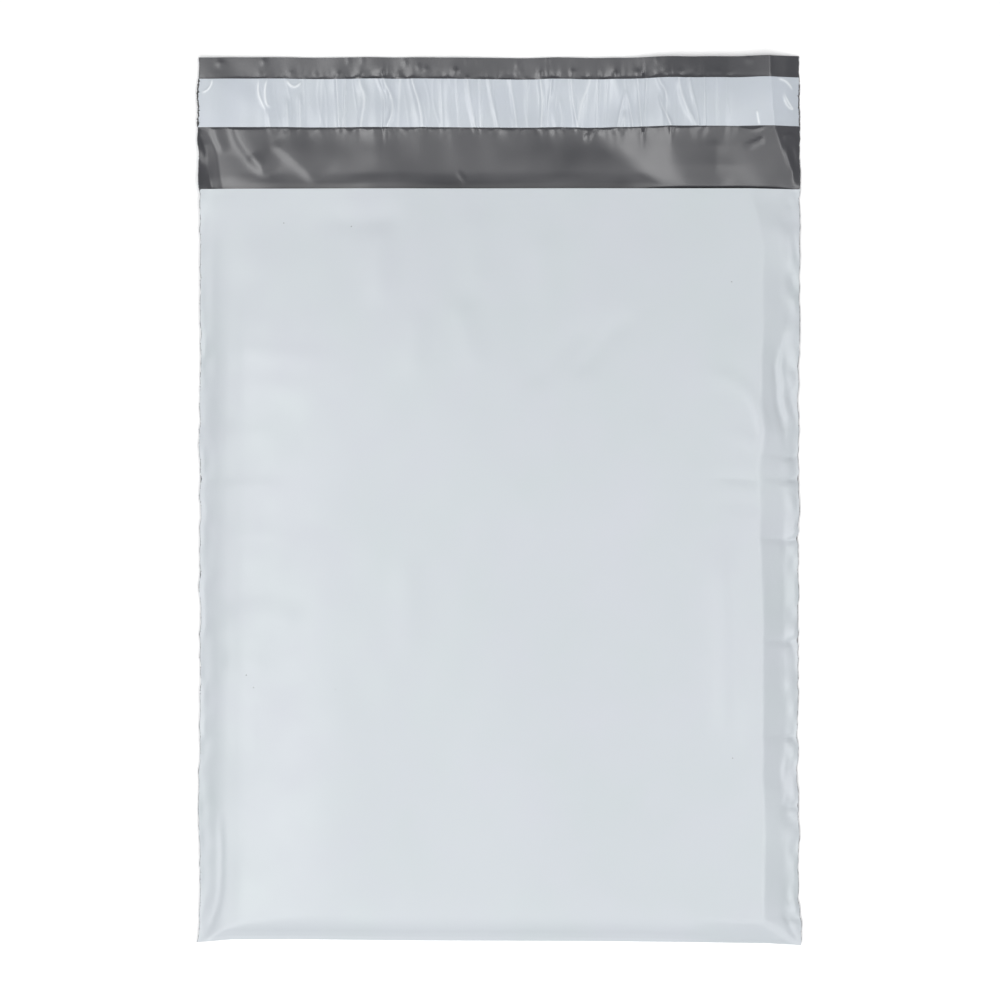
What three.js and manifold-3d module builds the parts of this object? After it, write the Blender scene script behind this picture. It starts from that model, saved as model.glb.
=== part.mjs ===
// Poly mailer bag: a self-seal shipping bag of two-layer polyethylene film, pale outside and grey inside.
//
// One web of film is folded across the bottom and fused along both sides, so front, back, fold and
// lip are one piece. The back runs past the mouth as a lip. The lip carries a strip of
// pressure-sensitive adhesive, and a release liner covers the strip until the bag is closed.
//
// Millimetres, +Z up. The bag lies on its back on z = 0, with its front panel up. X is across the
// bag, and +Y runs from the bottom fold to the lip. The origin is under the middle of its outline.

import * as THREE from "three";
import Module from "manifold-3d";

const wasm = await Module();
wasm.setup();

// Driving dimensions of the flat bag.
const WIDTH = 254; // 10 in, between the cut edges
const FRONT_LENGTH = 318; // bottom fold to the front panel's edge
const LIP_LENGTH = 56; // how far the back runs past the mouth
const FILM = 0.0635; // 2.5 mil film

// How the bag stands open.
const BULGE = 7.5; // height of the flat of the front panel
const MOUTH_HEIGHT = 6; // height of the front panel's free edge
const MOUTH_RUN = 24; // the panel comes down to that height over this length
const BEVEL = 12; // width of the slope round the flat
const EDGE_LIFT = 2; // height of the welds and the fold
const LIP_RUN = 24; // the lip's edges come down to the surface over this length

// The side welds and the bottom fold.
const WELD = 1.2; // width of the band where both panels are fused
const BEAD = 0.3; // thickness of that band, and of the fold

// The closure.
const LINER_WIDTH = 20.5;
const LINER_THICKNESS = 0.05;
const LINER_TO_LIP_EDGE = 9;
const ADHESIVE_WIDTH = 18;
const ADHESIVE_THICKNESS = 0.04;

const LENGTH = FRONT_LENGTH + LIP_LENGTH;
const SIDE = WIDTH / 2;
const FOLD_Y = -LENGTH / 2;
const MOUTH_Y = FOLD_Y + FRONT_LENGTH;
const LIP_END_Y = LENGTH / 2;
const STRIP_Y = LIP_END_Y - LINER_TO_LIP_EDGE - LINER_WIDTH / 2;
const EDGE_TOP = EDGE_LIFT + BEAD / 2;
const EDGE_BOTTOM = EDGE_LIFT - BEAD / 2;

function finish(name, color, roughness) {
  return new THREE.MeshStandardMaterial({ name, color, roughness, metalness: 0 });
}

const OUTER_FILM = finish("pale_film", "#d6dce1", 0.4);
const LINER_FILM = finish("liner_film", "#cbd1d8", 0.25);
const HOT_MELT = finish("hot_melt", "#d9cfa8", 0.5);

// From 0 at the edge to 1 at the flat, steepest at the edge and level where it meets the flat.
const SLOPE_POWER = 1.5;
function slope(distance, run) {
  const u = THREE.MathUtils.clamp(distance / run, 0, 1);
  return 1 - (1 - u) ** SLOPE_POWER;
}

// How far the film has risen on to the flat at (x, y). The lower of the side's and the fold's
// slopes holds, which mitres the two bottom corners.
function rise(x, y) {
  return Math.min(slope(SIDE - WELD - Math.abs(x), BEVEL), slope(y - FOLD_Y, BEVEL));
}

// The top of the front panel.
function front(x, y) {
  const flat = THREE.MathUtils.lerp(BULGE, MOUTH_HEIGHT, slope(y - MOUTH_Y + MOUTH_RUN, MOUTH_RUN));
  return EDGE_TOP + (flat - EDGE_TOP) * rise(x, y);
}

// The underside of the back panel and the lip.
function back(x, y) {
  const settled = 1 - THREE.MathUtils.smoothstep(y, MOUTH_Y, MOUTH_Y + LIP_RUN);
  return EDGE_BOTTOM * (1 - rise(x, y)) * settled;
}

const above = (surface, distance) => (x, y) => surface(x, y) + distance;

// Grid lines from start to end, both included.
function lines(start, end, cells) {
  return Array.from({ length: cells + 1 }, (_, i) => start + ((end - start) * i) / cells);
}

// How many cells of the grid each stretch of film has.
const SLOPE_CELLS = 6;
const FLAT_CELLS = 8;
const MOUTH_CELLS = 4;
const LIP_CURVE_CELLS = 5;
const LIP_FLAT_CELLS = 3;

// The hollow's grid lines across and along. The steps over the side slopes and over the bottom one
// are alike, so that the mitres run along the cells' diagonals.
const SLOPE_STEPS = lines(0, BEVEL, SLOPE_CELLS);
const FLAT_SIDE = SIDE - WELD - BEVEL;
const leftSlope = SLOPE_STEPS.map((step) => WELD - SIDE + step);
const rightSlope = leftSlope.map((x) => -x).toReversed();
const HOLLOW_COLUMNS = [...leftSlope, ...lines(-FLAT_SIDE, FLAT_SIDE, FLAT_CELLS).slice(1, -1), ...rightSlope];
const POUCH_ROWS = [
  ...SLOPE_STEPS.map((step) => FOLD_Y + step),
  ...lines(FOLD_Y + BEVEL, MOUTH_Y - MOUTH_RUN, FLAT_CELLS).slice(1),
  ...lines(MOUTH_Y - MOUTH_RUN, MOUTH_Y, MOUTH_CELLS).slice(1),
];
const PAST_MOUTH = 1; // how far the hollow is cut on, clear of the front panel's edge
const HOLLOW_ROWS = [FOLD_Y + FILM, ...POUCH_ROWS.slice(1), MOUTH_Y + PAST_MOUTH];

// The bag's own grid takes in the welds, and the lip's rows carry it on.
const BAG_COLUMNS = [-SIDE, ...HOLLOW_COLUMNS, SIDE];
const LIP_ROWS = [
  ...lines(MOUTH_Y, MOUTH_Y + LIP_RUN, LIP_CURVE_CELLS),
  ...lines(MOUTH_Y + LIP_RUN, LIP_END_Y, LIP_FLAT_CELLS).slice(1),
];

// The closed solid between two surfaces over a grid. Its cells are split along the diagonal that
// points at the nearer bottom corner.
function solidBetween(xs, ys, top, bottom) {
  const columns = xs.length;
  const rows = ys.length;
  const layer = columns * rows;
  const skin = (surface) => ys.flatMap((y) => xs.flatMap((x) => [x, y, surface(x, y)]));
  const indices = [];
  const quad = (a, b, c, d) => indices.push(a, b, c, a, c, d);

  for (let j = 0; j < rows - 1; j++) {
    for (let i = 0; i < columns - 1; i++) {
      const a = j * columns + i;
      const [b, c, d] = [a + 1, a + 1 + columns, a + columns];
      if (xs[i] + xs[i + 1] < 0) {
        quad(a, b, c, d);
        quad(a + layer, d + layer, c + layer, b + layer);
      } else {
        quad(b, c, d, a);
        quad(b + layer, a + layer, d + layer, c + layer);
      }
    }
  }
  const wall = (from, to) => quad(from, from + layer, to + layer, to);
  for (let i = 0; i < columns - 1; i++) {
    wall(i, i + 1);
    wall((rows - 1) * columns + i + 1, (rows - 1) * columns + i);
  }
  for (let j = 0; j < rows - 1; j++) {
    wall((j + 1) * columns, j * columns);
    wall((j + 1) * columns - 1, (j + 2) * columns - 1);
  }

  const vertProperties = new Float32Array([...skin(top), ...skin(bottom)]);
  return new wasm.Manifold(new wasm.Mesh({ numProp: 3, vertProperties, triVerts: new Uint32Array(indices) }));
}

function geometryOf(solid) {
  const { vertProperties, triVerts } = solid.getMesh();
  const geometry = new THREE.BufferGeometry();
  geometry.setAttribute("position", new THREE.BufferAttribute(vertProperties, 3));
  geometry.setIndex(new THREE.BufferAttribute(triVerts, 1));
  return geometry;
}

// The pouch is hollowed one film thickness in from its faces, right out through the mouth. It then
// gets the lip, which carries the back on.
function bagFilm() {
  const pouch = solidBetween(BAG_COLUMNS, POUCH_ROWS, front, back);
  const hollow = solidBetween(HOLLOW_COLUMNS, HOLLOW_ROWS, above(front, -FILM), above(back, FILM));
  const lip = solidBetween(BAG_COLUMNS, LIP_ROWS, above(back, FILM), back);
  const mesh = new THREE.Mesh(geometryOf(pouch.subtract(hollow).add(lip)), OUTER_FILM);
  mesh.name = "bag_film";
  return mesh;
}

// A flat strip right across the lip, lying at the height given.
function strip(name, width, thickness, height, material) {
  const mesh = new THREE.Mesh(new THREE.BoxGeometry(WIDTH, width, thickness), material);
  mesh.name = name;
  mesh.position.set(0, STRIP_Y, height + thickness / 2);
  return mesh;
}

const mailer = new THREE.Group();
mailer.add(bagFilm());
mailer.add(strip("adhesive_strip", ADHESIVE_WIDTH, ADHESIVE_THICKNESS, FILM, HOT_MELT));
mailer.add(strip("release_liner", LINER_WIDTH, LINER_THICKNESS, FILM + ADHESIVE_THICKNESS, LINER_FILM));

export default mailer;
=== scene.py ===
# %% [markdown]
# # A poly mailer bag
#
# A poly mailer is a shipping bag made of one web of plastic film. The web is folded across the
# bottom and fused along both sides. Its back runs on past the mouth as a lip, and the lip carries
# a strip of adhesive under a release liner. The film is white outside and grey inside, so the lip
# shows grey: it is the inside of the back.
#
# This lesson builds the bag around its measured model, which gives the sizes. The film is a sheet
# a fifteenth of a millimetre thick, so nearly everything the eye sees is how the sheet lies: its
# slopes, creases and puckers, and the light that slides over them.

# %% Load the measured model
import math

import bpy
import numpy as np
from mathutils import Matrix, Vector


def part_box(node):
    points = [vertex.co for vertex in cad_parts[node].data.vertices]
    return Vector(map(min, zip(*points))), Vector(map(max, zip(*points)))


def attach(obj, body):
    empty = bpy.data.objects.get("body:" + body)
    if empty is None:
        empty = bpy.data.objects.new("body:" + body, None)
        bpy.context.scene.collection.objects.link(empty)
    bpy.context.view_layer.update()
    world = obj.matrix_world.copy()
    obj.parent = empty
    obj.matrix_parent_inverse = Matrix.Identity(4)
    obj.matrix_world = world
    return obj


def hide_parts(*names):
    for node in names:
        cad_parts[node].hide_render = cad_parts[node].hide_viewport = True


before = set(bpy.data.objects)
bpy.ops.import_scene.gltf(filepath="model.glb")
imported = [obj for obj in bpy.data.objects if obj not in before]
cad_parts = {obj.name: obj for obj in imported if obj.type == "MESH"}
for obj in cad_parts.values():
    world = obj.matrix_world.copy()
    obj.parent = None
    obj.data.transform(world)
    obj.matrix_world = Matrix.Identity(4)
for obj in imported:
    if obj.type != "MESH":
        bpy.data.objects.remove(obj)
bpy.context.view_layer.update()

MM = 0.001  # the measured model is in metres, and the sizes below are in millimetres

# %% [markdown]
# ## Camera
#
# The bag lies flat, so the camera looks straight down at it. A long lens keeps the sides parallel.

# %% Set up the camera
scene = bpy.context.scene
scene.view_settings.view_transform = "Standard"

LENS = 85
SENSOR = 36
VIEW_WIDTH = 422
VIEW_CENTRE = (0.2, -0.2)
VIEW_PLANE = 3  # the height at which the frame is VIEW_WIDTH wide

camera = bpy.data.objects.new("camera", bpy.data.cameras.new("camera"))
scene.collection.objects.link(camera)
camera.data.lens = LENS
camera.data.sensor_width = SENSOR
camera_height = VIEW_PLANE + VIEW_WIDTH * LENS / SENSOR
camera.location = Vector((*VIEW_CENTRE, camera_height)) * MM
scene.camera = camera
print("camera height in mm:", round(camera_height))

# %% [markdown]
# ## Helpers
#
# Each pattern is an array function of the place on the sheet: `u` is how far across, `y` how far
# along, both in millimetres. `ripples` is a smooth random field made of a few dozen waves with
# random directions. It is seeded, so that it comes out alike each time.

# %% Functions of a place
def ease(t):
    """0 up to t = 0, 1 from t = 1, and smooth between."""
    t = np.clip(t, 0, 1)
    return t * t * (3 - 2 * t)


def along(y, places):
    """The value at y of a line through (y, value) places."""
    ys, values = zip(*sorted(places))
    return np.interp(y, ys, values)


def ripples(u, y, size_u, size_y, seed, waves=36):
    """Random ups and downs, each about size_u by size_y across, with a spread of 1."""
    rng = np.random.default_rng(seed)
    total = np.zeros(np.broadcast(u, y).shape)
    for _ in range(waves):
        turn, pace, start = rng.uniform(0, 2 * np.pi), rng.uniform(0.5, 1.4), rng.uniform(0, 2 * np.pi)
        total = total + np.cos(np.pi * pace * (u * np.cos(turn) / size_u + y * np.sin(turn) / size_y) + start)
    return total * math.sqrt(2 / waves)


def rounded(t, places, radius):
    """As along, with every corner of the line rounded off over radius."""
    return sum(along(t + step * radius, places) for step in (-1, -0.5, 0, 0.5, 1)) / 5


def hill(distance, width):
    """1 where distance is 0, falling off smoothly over width."""
    return np.exp(-((distance / width) ** 2))


def from_line(u, y, points):
    """For each place: its distance to a line through points, the share of the line's length at the
    nearest spot on it, and its side, 1 to the left of the line's course and -1 to the right."""
    steps = np.linalg.norm(np.diff(points, axis=0), axis=1)
    reached = np.concatenate([[0], np.cumsum(steps)]) / steps.sum()
    nearest = np.full(np.broadcast(u, y).shape, 1e9)
    share, side = np.zeros(nearest.shape), np.ones(nearest.shape)
    for i, step in enumerate(steps):
        du, dy = (points[i + 1] - points[i]) / step
        t = np.clip((u - points[i][0]) * du + (y - points[i][1]) * dy, 0, step)
        distance = np.hypot(u - points[i][0] - t * du, y - points[i][1] - t * dy)
        closer = distance < nearest
        nearest = np.where(closer, distance, nearest)
        share = np.where(closer, reached[i] + t / step * (reached[i + 1] - reached[i]), share)
        side = np.where(closer, np.sign(du * (y - points[i][1]) - dy * (u - points[i][0])), side)
    return nearest, share, side


def smooth_line(points):
    """The points of a line with its corners cut twice."""
    points = np.array(points, float)
    for _ in range(2 if len(points) > 2 else 0):
        cuts = [(0.75 * a + 0.25 * b, 0.25 * a + 0.75 * b) for a, b in zip(points, points[1:])]
        points = np.array([points[0], *(p for pair in cuts for p in pair), points[-1]])
    return points


def crease(u, y, points, height, left, right=None):
    """A raised line through points, fading towards both ends. It falls away over the widths left and
    right of its course."""
    distance, share, side = from_line(u, y, smooth_line(points))
    width = np.where(side > 0, left, right or left)
    return height * hill(distance, width) * ease(share / 0.25) * ease((1 - share) / 0.25)


def creases(u, y, places):
    """The sum of (points, height, width, width on the right) creases."""
    return sum(crease(u, y, *place) for place in places)


# %% [markdown]
# `add_node` puts one node into a tree, sets it and links it. Materials and Geometry Nodes trees are
# both built with it. Colours are written the way a paint chart gives them, and turned to linear.

# %% Functions for nodes and objects
SHARP_TURN = 50  # degrees


def add_node(tree, kind, settings=None, inputs=None):
    """A new node, with its settings, and with its inputs set to values or linked to sockets."""
    node = tree.nodes.new(kind)
    for name, value in (settings or {}).items():
        setattr(node, name, value)
    for name, value in (inputs or {}).items():
        if isinstance(value, bpy.types.NodeSocket):
            tree.links.new(value, node.inputs[name])
        else:
            node.inputs[name].default_value = value
    return node


def linear(hex_colour):
    """An sRGB colour such as "#d6dce1" as linear RGBA."""
    parts = [int(hex_colour[i : i + 2], 16) / 255 for i in (1, 3, 5)]
    return (*(c / 12.92 if c <= 0.04045 else ((c + 0.055) / 1.055) ** 2.4 for c in parts), 1)


def new_object(name, points, edges=(), faces=()):
    """A mesh object at the origin. Its points are in millimetres."""
    mesh = bpy.data.meshes.new(name)
    mesh.from_pydata(np.array(points) * MM, edges, faces)
    piece = bpy.data.objects.new(name, mesh)
    scene.collection.objects.link(piece)
    return piece


def new_material(name):
    material = bpy.data.materials.new(name)
    material.use_nodes = True
    return material, material.node_tree, material.node_tree.nodes["Principled BSDF"]


def noise(tree, place, size, detail, roughness):
    """Random clouds about size mm across."""
    inputs = {"Vector": place, "Scale": 1 / (size * MM), "Detail": detail, "Roughness": roughness}
    return add_node(tree, "ShaderNodeTexNoise", {}, inputs).outputs["Fac"]


def blend(tree, share, first, second):
    """The first colour where share is 0, and the second where it is 1."""
    return add_node(tree, "ShaderNodeMix", {"data_type": "RGBA"}, {0: share, 6: first, 7: second}).outputs[2]


def ramp(tree, value, low, high, first=0.0, last=1.0):
    """Turns values from low to high into first to last."""
    inputs = {"Value": value, "From Min": low, "From Max": high, "To Min": first, "To Max": last}
    return add_node(tree, "ShaderNodeMapRange", {}, inputs).outputs["Result"]


def freeze(piece):
    """Turns a piece with its modifiers into a plain mesh, sharp where it turns by over SHARP_TURN."""
    graph = bpy.context.evaluated_depsgraph_get()
    mesh = bpy.data.meshes.new_from_object(
        piece.evaluated_get(graph), preserve_all_data_layers=True, depsgraph=graph
    )
    piece.modifiers.clear()
    piece.data = mesh
    mesh.shade_smooth()
    mesh.set_sharp_from_angle(angle=math.radians(SHARP_TURN))
    triangles = sum(len(p.vertices) - 2 for p in mesh.polygons)
    size = [round(d / MM, 1) for d in piece.dimensions]
    print(f"{piece.name}: {triangles} triangles, {size} mm")
    return piece


# %% [markdown]
# ## Floor and light
#
# The bag lies on white studio paper under one broad overhead softbox, set a little towards the
# bottom fold. Film is glossy, so a spot mirrors whatever lies at twice its own lean: flat film shows
# the overhead box, film that leans by 4 to 15 degrees to a side also shines with one of two brighter
# strip boxes, and film that leans more, or a few degrees towards the lip, goes dark with the dim room.
# That is what draws the creases.

# %% Light the studio
FLOOR_SIDE = 12000
FLOOR_DROP = 0.1  # keeps the floor just clear of the bag's flat back
WORLD_GLOW = 0.14

half = FLOOR_SIDE / 2
corners = [(-half, -half), (half, -half), (half, half), (-half, half)]
floor = new_object("floor", [(x, y, -FLOOR_DROP) for x, y in corners], faces=[(0, 1, 2, 3)])
studio_paper, _, shader = new_material("studio_paper")  # matt white paper, which only takes shadows
shader.inputs["Base Color"].default_value = linear("#fdfdfd")
shader.inputs["Roughness"].default_value = 0.9
floor.data.materials.append(studio_paper)

world = bpy.data.worlds.new("studio")
world.use_nodes = True
background = world.node_tree.nodes["Background"].inputs
background["Color"].default_value = (1, 1, 1, 1)
background["Strength"].default_value = WORLD_GLOW
scene.world = world


def softbox(name, lean, distance, size, glow):
    """A lit rectangle that faces the bag, leaning from straight overhead by degrees towards X and Y."""
    light = bpy.data.lights.new(name, "AREA")
    light.shape = "RECTANGLE"
    light.size, light.size_y = size[0] * MM, size[1] * MM
    light.energy = glow * math.pi * light.size * light.size_y
    lamp = bpy.data.objects.new(name, light)
    x, y = math.radians(lean[0]), math.radians(lean[1])
    lamp.rotation_euler = (-y, x, 0)
    lamp.location = lamp.rotation_euler.to_matrix() @ Vector((0, 0, distance * MM))
    scene.collection.objects.link(lamp)


STRIP_SIZE = (600, 2250)
softbox("softbox_overhead", (0, -17), 3000, (3750, 3700), 1.25)
softbox("softbox_left", (-15.3, -12), 2200, STRIP_SIZE, 5.4)
softbox("softbox_right", (22, -12), 2200, STRIP_SIZE, 3.3)
print(len(bpy.data.lights), "softboxes")

# %% [markdown]
# ## Sizes of the bag
#
# The outline, the height of the flat and the thickness of each layer come from the measured model.
# The rest are the few sizes that the model's boxes don't tell.

# %% Read the sizes
bag_low, bag_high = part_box("bag_film")
liner_low, liner_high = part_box("release_liner")
glue_low, glue_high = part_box("adhesive_strip")

SIDE = bag_high.x / MM  # from the middle line to a cut edge
FOLD = bag_low.y / MM
LIP_END = bag_high.y / MM
FLAT_HEIGHT = bag_high.z / MM
FILM = glue_low.z / MM
LINER = (liner_low.y / MM, liner_high.y / MM)
GLUE = (glue_low.y / MM, glue_high.y / MM)
LINER_THICKNESS = (liner_high.z - liner_low.z) / MM
GLUE_THICKNESS = (glue_high.z - glue_low.z) / MM

FRONT_LENGTH = 318
MOUTH = FOLD + FRONT_LENGTH
WELD_HEIGHT = 2.15  # of its middle, above the table
WELD_THICKNESS = 0.2  # both films at the weld, which the bead then covers

# %% [markdown]
# ## The outline
#
# A mailer is cut and welded in one stroke of a hot knife, and the film shrinks back from it a
# little, so neither side is straight. The bag is slightly waisted, its bottom corners poke out, and
# the folds that run into the right weld pull small notches into it.

# %% Places on the outline
# How far each edge stands out from its straight line, at places along the bag or across it.
RIGHT_EDGE = [
    (-187, 0.5), (-178, 0.1), (-169, -0.7), (-127, -0.8), (-118, -1.4), (-85, -1), (-9, -1),
    (25, -0.6), (42, -1.2), (60, -0.7), (131, -0.4), (145, 0), (187, -0.4),
]
LEFT_EDGE = [
    (-187, 0.6), (-178, -0.5), (-150, -0.8), (-137, 0.1), (-118, 0.1), (-100, -0.7), (60, -0.8),
    (125, -0.7), (134, 0), (160, 0.3), (187, 0.1),
]
FOLD_EDGE = [
    (-127, 0), (-113, 1.2), (-85, 1.3), (-40, 0.8), (42, 0.5), (85, 0), (113, -0.4), (127, -1.2),
]
LIP_EDGE = [(-127, -0.1), (60, -0.2), (80, -0.2), (100, 0.1), (116, 0.35), (127, 0.6)]
NOTCHES = [18.6, 8.9, -16.5, -59.5, -99.6, -129.1, -175.6]  # where folds run into the right weld
EDGE_REACH = 30  # how far in from a cut edge the sheet is pulled with it


def right_notches(y, width):
    """1 at each notch, falling off over width."""
    return sum(hill(y - place, width) for place in NOTCHES)


def settle(u, y):
    """Moves places on the flat web to where they lie, as seen from above."""
    waver = 0.16 * ripples(y, 0 * y, 7, 7, seed=11) + 0.13 * ripples(y, 0 * y, 3, 3, seed=12)
    right = along(y, RIGHT_EDGE) + waver - 0.45 * right_notches(y, 1.6)
    waver = 0.14 * ripples(y, 0 * y, 8, 8, seed=13) + 0.13 * ripples(y, 0 * y, 3, 3, seed=14)
    left = along(y, LEFT_EDGE) + waver
    x = u + right * ease(1 - (SIDE - u) / EDGE_REACH) - left * ease(1 - (SIDE + u) / EDGE_REACH)
    fold = along(u, FOLD_EDGE) * ease(1 - (y - FOLD) / EDGE_REACH)
    lip = (along(u, LIP_EDGE) + 0.1 * ripples(u, 0 * u, 14, 14, seed=15)) * ease((y - MOUTH - 8) / EDGE_REACH)
    return x, y + fold + lip


def laid(u, y, height):
    """Where places on the flat web lie, each at its height."""
    u, y = (np.array(place, float) for place in np.broadcast_arrays(u, y))
    x, lies = settle(u, y)
    return np.stack([x, lies, height(u, y)], axis=1)


print(len(NOTCHES), "notches in the right weld")


# %% [markdown]
# ## How the front panel lies
#
# The front panel stands about 7 mm above the table, flat in the middle. On the right it turns over a
# crisp shoulder and drops in two steps: a steep smooth band, then a flatter band that the weld
# crinkles. The left is a softer roll. At the bottom it slopes to the fold, with a crease where each
# slope meets a side, and towards the mouth it droops a little.

# %% Slopes of the front panel
# How far in from the right edge the flat begins, at places along the bag.
RIGHT_SHOULDER = [
    (-187, 16.4), (-178, 16.2), (-160, 15.4), (-85, 15.9), (-51, 15.7), (-9, 17.5), (12, 18.5),
    (29, 14.8), (42, 16.4), (108, 16.6), (116, 18), (131, 22.5),
]
# Where the right side's steep band meets the crinkled band along the weld.
RIGHT_KNEE = [
    (-187, 4), (-170, 4.4), (-150, 4.8), (-130, 4.4), (-118, 7), (-92, 5), (-70, 6), (-40, 6.2), (-8, 6),
    (8, 3.5), (20, 4), (27, 2.5), (37, 7), (50, 8.5), (62, 9), (70, 6), (80, 4.5), (108, 4.5), (113, 3),
    (119, 5.5), (131, 6),
]
KNEE_SHARE = 0.28
LEFT_SHOULDER = [(-187, 11), (60, 12), (131, 14)]
BOTTOM_SHOULDER = [(-127, 11.5), (60, 11.5), (100, 9.5), (127, 9.3)]
# The share of the way up, at shares of the way in from the weld to the shoulder.
RIGHT_SLOPE = [(0, 0), (0.06, 0.08), (KNEE_SHARE, 0.26), (1, 0.96), (1.15, 1)]
LEFT_SLOPE = [(0, 0), (0.2, 0.07), (0.46, 0.23), (0.83, 0.45), (1.7, 0.7), (5, 1)]
BOTTOM_SLOPE = [(0, 0), (0.1, 0.2), (0.8, 0.82), (1.6, 0.95), (3.5, 1)]
CRISP_BOTTOM_SLOPE = [(0, 0), (0.08, 0.15), (1, 0.97), (1.15, 1)]  # near the right corner

MITRE = 0.05  # how soft the ridge between two slopes is, as a share of their height
SLACK = 0.5  # how far the flat hangs below the model's top, to leave room for its waves
MOUTH_DROOP = 1.6
DROOP_LENGTH = 80
print("flat of the panel at", round(FLAT_HEIGHT - SLACK, 2), "mm")

# %% [markdown]
# The flat and the slopes carry folds. The sharpest ones run out of the right weld and the bottom
# corners. Away from the edges they are only shallow waves, which show as broad faint streaks.

# %% Folds and waves of the front panel
# Each fold is (points, height, width, width on the right of its course).
RIGHT_FOLDS = [
    ([(119.4, 66), (119.8, 52), (122, 38), (125.6, 29)], 0.45, 1.4, 2.2),
    ([(116.6, 64), (116.9, 50), (119, 34), (123, 20)], -0.35, 1.2, 1.2),
    ([(120.2, -125.8), (125.8, -129.4)], 0.4, 0.8, 1.3),
    ([(121, -146), (124.5, -150)], 0.35, 0.9, 1.2),
    ([(121.5, 113), (124.8, 106), (123.2, 97)], 0.3, 1.2, 1.6),
    ([(121, -163), (125, -172)], -0.3, 1, 1.5),
    ([(120.5, -107), (122, -112), (121, -118)], 0.3, 1.2, 1.5),
]
CORNER_FOLDS = [
    ([(108.5, -176.3), (115, -180), (119, -182.6), (123, -185.2), (127.5, -188)], -0.34, 1.15, 1.15),
    ([(120, -173), (122, -180), (126.5, -186.5)], -0.3, 1.5, 1.1),
    ([(-117.8, -130), (-117.5, -155), (-118.4, -168), (-120.5, -177), (-126, -187)], -0.24, 1.3, 1.6),
]
# The weld gathers the left side a little, which sends shallow waves into the panel.
PANEL_WAVES = [
    ([(-118, 64), (-95, 60.5), (-68, 59)], 0.19, 3.6),
    ([(-118, 49), (-98, 47.5), (-80, 49)], 0.17, 3),
    ([(-118, 29), (-106, 28), (-92, 27)], 0.27, 3.2),
    ([(-118, 7), (-106, 5.5), (-92, 6)], 0.27, 3.2),
    ([(-118, -15), (-102, -13.5), (-90, -16)], 0.22, 3),
    ([(-119, -48), (-104, -46.5), (-88, -49), (-82, -52)], 0.58, 5, 5.5),
    ([(-119, -67), (-108, -68.5), (-96, -70)], 0.47, 4.2),
    ([(-99, -80), (-98.5, -96), (-99.5, -112)], 0.32, 3.4),
    ([(95, -12), (97.5, -60), (96.5, -112)], 1, 6.5, 6.5),
    ([(84, 54), (98, 50), (107, 43), (111, 30), (110, 19)], 0.47, 3, 2.2),
    ([(96, 29), (103, 26), (109, 21)], 0.34, 2.2, 2.4),
    ([(90, 9.5), (100, 9), (112, 7)], -0.3, 2.2, 2.2),
    ([(90, -1), (100, -1.5), (112, -3)], -0.3, 2.4, 2.4),
    ([(31, 50), (44, 67), (56, 80)], -0.6, 3.6),
    ([(12, 46), (26, 62), (39, 76)], -0.42, 3.6),
    ([(-10, 124), (-10.5, 105), (-10, 86)], 0.3, 4.2),
    ([(-50, 120), (-49.5, 100), (-51, 80)], 0.36, 4.6),
    ([(-35, 81), (-34.5, 66), (-36, 50)], 0.3, 3.8),
    ([(-18, 85), (-13, 70), (-9, 53)], 0.34, 3.8),
    ([(-76, 120), (-57, 116), (-40, 121)], -0.26, 4.5),
    ([(18, 112), (19, 98), (17, 82)], 0.26, 3.6),
    ([(-40, -20), (-38, -45), (-41, -70)], 0.28, 5),
    ([(60, 40), (64, 20), (61, -5)], 0.2, 5),
]
print(len(RIGHT_FOLDS) + len(CORNER_FOLDS), "folds and", len(PANEL_WAVES), "waves")

# %% [markdown]
# Each side gives a rise from 0 at the weld to 1 on the flat, and the lowest of them holds. The weld
# pulls puckers into the film beside it, and each notch sends a dart into the right slope.

# %% The height of the front panel
def lower(a, b):
    """The lower of two slopes, with the ridge where they meet rounded off."""
    near = np.clip(1 - np.abs(a - b) / (2 * MITRE), 0, 1)
    return np.minimum(a, b) - MITRE / 2 * near**2 * ease((a + b) * 4)


def weld_height(u, y):
    """The height of the weld's middle. The crinkled right side wavers more."""
    right = 0.3 * ripples(y, 0 * y, 16, 16, seed=21) - 0.4 * right_notches(y, 2.5)
    left = 0.15 * ripples(y, 0 * y, 25, 25, seed=22) + 0.9 * ease((y - MOUTH + 22) / 18)
    return WELD_HEIGHT + np.where(u > 0, right, left) * ease((y - FOLD) / 20)


def crinkles(u, y):
    """The puckers that a weld pulls into the film beside it."""
    right_in, left_in = SIDE - u, SIDE + u
    waves = 0.3 * ripples(right_in, y, 8, 7, seed=23) + 0.16 * ripples(right_in, y, 4, 3.5, seed=24)
    darts = 0.7 * right_notches(y + 0.25 * right_in, 0.8)
    right = (waves - darts) * ease(1 - right_in / 9) * ease(right_in / 1.3) + creases(u, y, RIGHT_FOLDS)
    right = np.maximum(right, -0.16 * np.maximum(right_in, 0))
    left = 0.12 * ripples(left_in, y, 5, 7, seed=25) * ease(1 - left_in / 8) * ease(left_in / 2)
    return right * ease((y - FOLD - 3) / 12) + left * ease((y - FOLD) / 8)


def right_rise(u, y):
    """The share of the way up on the right side, over its knee."""
    inset, knee, shoulder = SIDE - u, along(y, RIGHT_KNEE), along(y, RIGHT_SHOULDER)
    past_knee = KNEE_SHARE + (1 - KNEE_SHARE) * (inset - knee) / (shoulder - knee)
    return rounded(np.where(inset < knee, KNEE_SHARE * inset / knee, past_knee), RIGHT_SLOPE, 0.06)


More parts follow.
